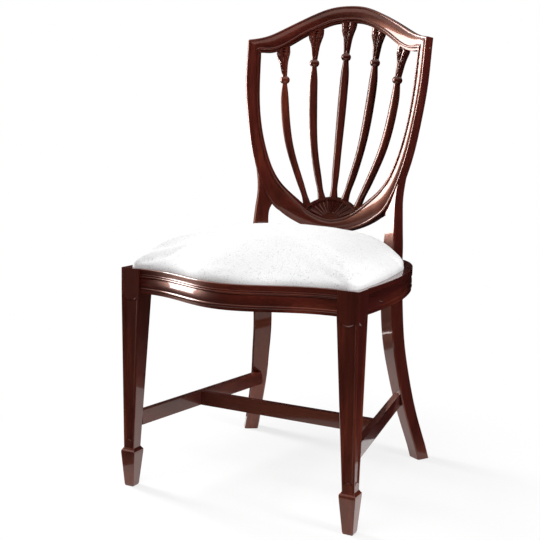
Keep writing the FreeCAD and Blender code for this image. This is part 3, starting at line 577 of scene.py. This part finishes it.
def ring_shares(count):
    """Shares of the way out, set so that the rings are even along the curve and not from above."""
    fine = np.linspace(0, 1, FINE_STEPS) ** 0.5
    run = np.hypot(np.diff(fine) * SEAT_HALF_WIDTH, np.diff(crown(fine)) * CROWN_RISE)
    length = np.concatenate([[0], np.cumsum(run)])
    return np.interp(np.linspace(length[-1], 0, count + 1), length, fine)


def stuffed_seat():
    low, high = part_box("seat_cover")
    rail_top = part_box("front_seat_rail")[1].z
    base = rail_top + STRAIGHT_SIDE
    rise = high.z - base
    rings = [(1.0, low.z), (1.0, (low.z + rail_top) / 2), (1.0, rail_top)]
    roll = [(1.0, rail_top + ROLL_START), (1.0, base + 0.001), (ROLL_END, base + rise * crown(ROLL_END))]
    for t in np.linspace(0, 1, ROLL_RINGS)[:-1]:
        weights = ((1 - t) ** 2, 2 * t * (1 - t), t ** 2)
        rings.append(tuple(sum(w * p[k] for w, p in zip(weights, roll)) for k in (0, 1)))
    rings += [(share, base + rise * crown(share)) for share in ring_shares(RINGS)[:-1] if share <= ROLL_END]
    vertices = []
    for share, z in rings:
        flat = seat_middle + (seat_edge - seat_middle) * share
        vertices += [(x, y, z) for x, y in flat]
    faces = joined_rings(len(rings), AROUND)
    top = len(vertices)
    vertices.append((seat_middle[0], seat_middle[1], high.z))
    last = (len(rings) - 1) * AROUND
    faces += [(last + i, last + (i + 1) % AROUND, top) for i in range(AROUND)]
    return new_piece("seat_cushion", vertices, faces, cover_cloth, "drop_in_seat")


cushion = stuffed_seat()
print("cushion: %d faces" % len(cushion.data.polygons))

# %% [markdown]
# ## Letting the cover settle
# Real cloth finds its own shape: it swells where the stuffing pushes and stays down where it is tacked.
# The cover is run as cloth for twenty frames, blown up gently from inside, with its tacked rim held still.
# The movement is capped, so that the seat keeps its measured height, and the result is written to the mesh.

# %% Run the cover as cloth
SETTLE_FRAMES = 20
SETTLE_LIMIT = 0.004
HELD_ABOVE_RAIL = 0.0005


def settle(piece, pressure):
    start = np.array([v.co for v in piece.data.vertices])
    rail_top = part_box("front_seat_rail")[1].z
    held = piece.vertex_groups.new(name="tacked_rim")
    held.add([v.index for v in piece.data.vertices if v.co.z <= rail_top + HELD_ABOVE_RAIL], 1.0, "REPLACE")
    cloth = piece.modifiers.new("settle", "CLOTH")
    cloth.settings.use_pressure = True
    cloth.settings.uniform_pressure_force = pressure
    cloth.settings.effector_weights.gravity = 0
    cloth.settings.vertex_group_mass = held.name
    cloth.settings.quality = 6
    cloth.settings.tension_stiffness = 25
    cloth.settings.compression_stiffness = 25
    cloth.settings.bending_stiffness = 2.0
    cloth.point_cache.frame_start = 1
    cloth.point_cache.frame_end = SETTLE_FRAMES
    scene = bpy.context.scene
    for f in range(1, SETTLE_FRAMES + 1):
        scene.frame_set(f)
    seen = piece.evaluated_get(bpy.context.evaluated_depsgraph_get())
    moved = np.array([v.co for v in seen.data.vertices]) - start
    far = np.linalg.norm(moved, axis=1, keepdims=True)
    moved *= np.minimum(1.0, SETTLE_LIMIT / np.maximum(far, 1e-9))
    piece.modifiers.remove(cloth)
    scene.frame_set(1)
    piece.data.vertices.foreach_set("co", (start + moved).astype(np.float32).ravel())
    piece.data.update()
    print("cover settled by at most %.1f mm" % (1000 * far.max()))


settle(cushion, 3.0)

# %% [markdown]
# ## The marks of use and of pulling
# Hand stuffing is never quite even, so the crown has slow hollows a millimetre or so deep.
# At the front corners the cover is pulled round the corner, and short pull lines fan out from there.
# Moving the vertices along their normals by formula shows both, and hardly changes the seat's outline.

# %% Soften the cushion
HOLLOWS = ((0.0012, 11.0), (0.0006, 27.0))
CORNER_INSET = (0.014, 0.062)
PULL_DEPTH = 0.0009
PULL_SPREAD = 0.05
PULL_LINES = 11
STILL_BELOW = 0.18
FADE_IN = 6


def worked_in(piece):
    low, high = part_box("seat_cover")
    aside, behind = CORNER_INSET
    corners = [Vector((side * (high.x - aside), low.y + behind, 0)) for side in (-1, 1)]
    for vertex in piece.data.vertices:
        p = vertex.co
        flat = Vector((p.x, p.y, 0))
        height = (p.z - low.z) / (high.z - low.z)
        push = sum(depth * noise.noise(p * scale) for depth, scale in HOLLOWS)
        for corner in corners:
            away = flat - corner
            near = math.exp(-(away.length / PULL_SPREAD) ** 2)
            push += PULL_DEPTH * near * math.sin(PULL_LINES * math.atan2(away.y, abs(away.x) + 1e-6))
        vertex.co = p + vertex.normal * push * min(1.0, max(0.0, height - STILL_BELOW) * FADE_IN)
    piece.data.update()


worked_in(cushion)
subdivide = cushion.modifiers.new("fine_cloth", "SUBSURF")
subdivide.levels = subdivide.render_levels = 1
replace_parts(cushion, "seat_cover", "seat_pad")
print("cushion stands for the cover and the stuffing")

# %% [markdown]
# ## Under the seat
# Turned over, a drop-in seat shows a black lining tacked to the loose frame. Inside it, woven webbing carries
# a sheet of hessian. The strips go over and under each other, so each is a long ribbon that waves.

# %% Webbing woven over and under
STRIP_STEPS = 120
STRIP_THICK = 0.0009
STRIP_WAVE = 0.00055
WAVE_SPREAD = 0.62


def strip_centres(axis):
    """Middle lines of the webbing strips that run along an axis, read from the solid strips."""
    low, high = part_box("seat_webbing")
    corners = np.array([v.co for v in nodes["seat_webbing"].data.vertices])
    ends = corners[np.isclose(corners[:, axis], high[axis], atol=0.0005)]
    edges = sorted(set(np.round(ends[:, 1 - axis], 4)))
    return [(a, b) for a, b in zip(edges[0::2], edges[1::2])], low, high


def woven_strips():
    vertices, faces = [], []
    for axis in (0, 1):
        pairs, low, high = strip_centres(axis)
        crossing = strip_centres(1 - axis)[0]
        middle_z = (low.z + high.z) / 2
        for rank, (a, b) in enumerate(pairs):
            start = len(vertices)
            rows = []
            for k in range(STRIP_STEPS + 1):
                along = low[axis] + (high[axis] - low[axis]) * k / STRIP_STEPS
                lift = 0.0
                for turn, (c, d) in enumerate(crossing):
                    sign = 1 if (turn + rank + axis) % 2 else -1
                    lift += sign * math.exp(-((along - (c + d) / 2) / (WAVE_SPREAD * (d - c))) ** 4)
                z = middle_z + lift * STRIP_WAVE
                for side, drop in ((a, 0.5), (b, 0.5), (b, -0.5), (a, -0.5)):
                    point = [0.0, 0.0, z + drop * STRIP_THICK]
                    point[axis] = along
                    point[1 - axis] = side
                    rows.append(point)
            vertices += rows
            faces += [tuple(start + i for i in face) for face in joined_rings(STRIP_STEPS + 1, 4)]
            end = start + STRIP_STEPS * 4
            faces += [(start + 3, start + 2, start + 1, start), (end, end + 1, end + 2, end + 3)]
    strips = new_piece("webbing_strips", vertices, faces, webbing_cloth, "drop_in_seat")
    for face in strips.data.polygons:
        face.use_smooth = False
    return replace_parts(strips, "seat_webbing")


strips = woven_strips()
print("webbing: %d faces" % len(strips.data.polygons))

# %% [markdown]
# ## Hessian and lining
# Both are flat sheets cut to the seat's outline. Cloth that is stretched and tacked still isn't dead flat:
# it dips a little between the tacks and in the middle. Here the hessian dips in the middle, both sheets get a
# faint ripple, and neither has thickness.

# %% Two stretched sheets
SHEET_RINGS = 26
SHEET_WAVE = 0.00008


def stretched_sheet(name, node, finish, dip):
    low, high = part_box(node)
    share = (high.x - low.x) / (seat_edge[:, 0].max() - seat_edge[:, 0].min())
    level = (low.z + high.z) / 2
    vertices = []
    for k in range(SHEET_RINGS):
        out = 1 - k / SHEET_RINGS
        for x, y in seat_middle + (seat_edge - seat_middle) * share * out:
            wave = SHEET_WAVE * noise.noise(Vector((x, y, 0)) * 60)
            vertices.append((x, y, level + dip * (1 - out ** 2) + wave))
    faces = joined_rings(SHEET_RINGS, AROUND)
    vertices.append((seat_middle[0], seat_middle[1], level + dip))
    last = (SHEET_RINGS - 1) * AROUND
    faces += [(last + i, last + (i + 1) % AROUND, len(vertices) - 1) for i in range(AROUND)]
    piece = new_piece(name, vertices, faces, finish, "drop_in_seat")
    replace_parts(piece, node)
    return piece


hessian_sheet = stretched_sheet("hessian_sheet", "seat_hessian", hessian_cloth, -0.0003)
lining_sheet = stretched_sheet("lining_sheet", "dust_cover", lining_cloth, 0.0)

# %% [markdown]
# ## The camera
# The camera stood to the right of the chair's front, at the height of the back's middle, looking a little
# down and slightly rolled. Left and right are as seen from the front here.
# The camera's turn, tilt, roll and distance are set from the chair's own square corners, and its place is
# counted from the front face of the front legs, so that it stays right if the chair moves in its frame.

# %% Set up the camera
CAMERA_TURN = math.radians(-27.150)
CAMERA_TILT = math.radians(-8.734)
CAMERA_ROLL = math.radians(1.206)
CAMERA_RIGHT = 0.8645
CAMERA_BEFORE_LEGS = 1.5408
CAMERA_HEIGHT = 0.7260
LENS_IN_WIDTHS = 996.891 / 540


def place_camera():
    ahead = Vector((math.sin(CAMERA_TURN) * math.cos(CAMERA_TILT),
                    math.cos(CAMERA_TURN) * math.cos(CAMERA_TILT), math.sin(CAMERA_TILT)))
    level = Vector((math.cos(CAMERA_TURN), -math.sin(CAMERA_TURN), 0))
    above = level.cross(ahead)
    right = level * math.cos(CAMERA_ROLL) + above * math.sin(CAMERA_ROLL)
    up = above * math.cos(CAMERA_ROLL) - level * math.sin(CAMERA_ROLL)
    data = bpy.data.cameras.new("camera")
    data.sensor_width = 36.0
    data.lens = LENS_IN_WIDTHS * data.sensor_width
    camera = bpy.data.objects.new("camera", data)
    bpy.context.scene.collection.objects.link(camera)
    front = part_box("front_leg_right")[0].y
    place = Vector((CAMERA_RIGHT, front - CAMERA_BEFORE_LEGS, CAMERA_HEIGHT))
    camera.matrix_world = Matrix.Translation(place) @ Matrix((right, up, -ahead)).transposed().to_4x4()
    bpy.context.scene.camera = camera
    return camera


camera = place_camera()
print("camera lens %.1f mm at" % camera.data.lens, [round(v, 3) for v in camera.location])

# %% [markdown]
# ## Floor, walls and light
# The chair stands on a white floor that runs on into a white background, as in a studio.
# The floor takes the chair's shadow near it, and turns to plain white further out.

# %% White floor and background
FLOOR_RADIUS = 40
FLOOR_SIDES = 96
FLOOR_WHITE = (0.9, 0.9, 0.9, 1)
SHADOW_ENDS = (0.30, 0.75)
PLAIN_SHARE = 0.72
AMBIENT = 0.24
WHITE = (1, 1, 1, 1)


def looked_at(finish):
    """1 for rays from the camera, in a mirror or through glass, and 0 for light that falls on things."""
    seen = finish.node("ShaderNodeLightPath", {}, {}, "Is Camera Ray")
    mirrored = finish.node("ShaderNodeLightPath", {}, {}, "Is Glossy Ray")
    through = finish.node("ShaderNodeLightPath", {}, {}, "Is Transmission Ray")
    return (seen + mirrored + through).clamp()


def studio_piece(name, vertices, faces, finish):
    mesh = bpy.data.meshes.new(name)
    mesh.from_pydata(vertices, [], faces)
    mesh.materials.append(finish.material)
    piece = bpy.data.objects.new(name, mesh)
    bpy.context.scene.collection.objects.link(piece)
    return piece


def ring_of_points(radius, height, count):
    turns = np.linspace(0, 2 * math.pi, count, endpoint=False)
    return [(radius * math.cos(a), radius * math.sin(a), height) for a in turns]


def white_floor():
    floor = Finish("white_floor")
    place = floor.node("ShaderNodeNewGeometry", {}, {}, "Position")
    out = floor.node("ShaderNodeVectorMath", {"operation": "LENGTH"}, {0: place}, "Value")
    painted = floor.node("ShaderNodeBsdfDiffuse", {}, {"Color": FLOOR_WHITE})
    plain = floor.node("ShaderNodeEmission", {}, {"Color": WHITE, "Strength": 1.0})
    far = out.between(*SHADOW_ENDS) * (1 - PLAIN_SHARE) + PLAIN_SHARE
    mixed = floor.node("ShaderNodeMixShader", {}, {0: looked_at(floor) * far, 1: painted, 2: plain})
    floor.node("ShaderNodeOutputMaterial", {}, {"Surface": mixed})
    return studio_piece("studio_floor", ring_of_points(FLOOR_RADIUS, 0, FLOOR_SIDES),
                        [tuple(range(FLOOR_SIDES))], floor)


def white_world():
    world = Finish("white_studio", world=True)
    bpy.context.scene.world = world.material
    strength = looked_at(world) * (1 - AMBIENT) + AMBIENT
    light = world.node("ShaderNodeBackground", {}, {"Color": WHITE, "Strength": strength})
    world.node("ShaderNodeOutputWorld", {}, {"Surface": light})


bpy.context.scene.view_settings.view_transform = "Standard"
floor = white_floor()
white_world()
print("floor and world are white")

# %% [markdown]
# A high polish looks black only where it mirrors something dark, so dark cloths hang round the studio, and
# another lies round the chair, from just outside its shadow. They show in the polish and nowhere else.

# %% Dark cloths round the studio, seen only in the polish
CLOTH_RADIUS = 3.4
CLOTH_TOP = 2.9
CLOTH_BOTTOM = 0.003
CLOTH_HOLE = 0.40
CLOTH_SIDES = 64
CLOTH_BLACK = (0.004, 0.004, 0.004, 1)


def only_in_polish(name, vertices, faces, finish):
    """Something of the studio that shows in the polish and nowhere else."""
    piece = studio_piece(name, vertices, faces, finish)
    piece.visible_camera = False
    piece.visible_diffuse = False
    piece.visible_shadow = False
    piece.visible_transmission = False
    return piece


def dark_ring(name, first, second):
    """A dark cloth between two rings, each given as (radius, height)."""
    cloth = Finish(name)
    black = cloth.node("ShaderNodeBsdfDiffuse", {}, {"Color": CLOTH_BLACK})
    cloth.node("ShaderNodeOutputMaterial", {}, {"Surface": black})
    points = ring_of_points(*first, CLOTH_SIDES) + ring_of_points(*second, CLOTH_SIDES)
    return only_in_polish(name, points, joined_rings(2, CLOTH_SIDES), cloth)


ring = dark_ring("studio_dark_ring", (CLOTH_RADIUS, CLOTH_BOTTOM), (CLOTH_RADIUS, CLOTH_TOP))
floor_ring = dark_ring("studio_dark_floor_cloth", (CLOTH_HOLE, CLOTH_BOTTOM), (CLOTH_RADIUS, CLOTH_BOTTOM))
print("dark cloths hang", round(ring.dimensions.x / 2, 1), "m away")

# %% [markdown]
# ## Lamps
# The photograph shows a tall soft light on the left, which draws long highlights on the bowed rail and
# on the hollow of the shield, and a weaker one on the right that lights the sides of the legs.
# A broad panel above and before the chair lights the cushion. The polish mirrors only the left lamp and a
# bright card behind it. The other two lamps are hidden from it: they would put highlights in wrong places.

# %% Three soft lamps
# Name, place, the point it aims at, its width and height, and its power in watts.
LAMPS = [("lamp_left", (-2.2, 0.2, 1.1), (0, 0, 0.6), 0.6, 1.9, 80),
         ("lamp_right", (2.1, -0.4, 1.0), (0, 0, 0.4), 0.6, 1.4, 34),
         ("lamp_above", (0.0, -1.3, 2.2), (0, 0, 0.4), 1.6, 1.2, 26)]
CARD_CORNERS = [(-2.6, -1.0, 0.25), (-2.6, 0.35, 0.25), (-2.6, 0.35, 2.1), (-2.6, -1.0, 2.1)]
CARD_STRENGTH = 16.0


def soft_lamp(name, place, aim, wide, high, power):
    data = bpy.data.lights.new(name, "AREA")
    data.shape = "RECTANGLE"
    data.size = wide
    data.size_y = high
    data.energy = power
    lamp = bpy.data.objects.new(name, data)
    lamp.location = place
    lamp.rotation_euler = (Vector(aim) - Vector(place)).to_track_quat("-Z", "Y").to_euler()
    bpy.context.scene.collection.objects.link(lamp)
    return lamp


def shine_card():
    card = Finish("studio_shine_card")
    light = card.node("ShaderNodeEmission", {}, {"Color": WHITE, "Strength": CARD_STRENGTH})
    card.node("ShaderNodeOutputMaterial", {}, {"Surface": light})
    return only_in_polish("studio_shine_card", CARD_CORNERS, [(0, 1, 2, 3)], card)


lamps = [soft_lamp(*lamp) for lamp in LAMPS]
for lamp in lamps[1:]:
    lamp.visible_glossy = False
card = shine_card()
print("lamps:", {lamp.name: lamp.data.energy for lamp in lamps})

# %% [markdown]
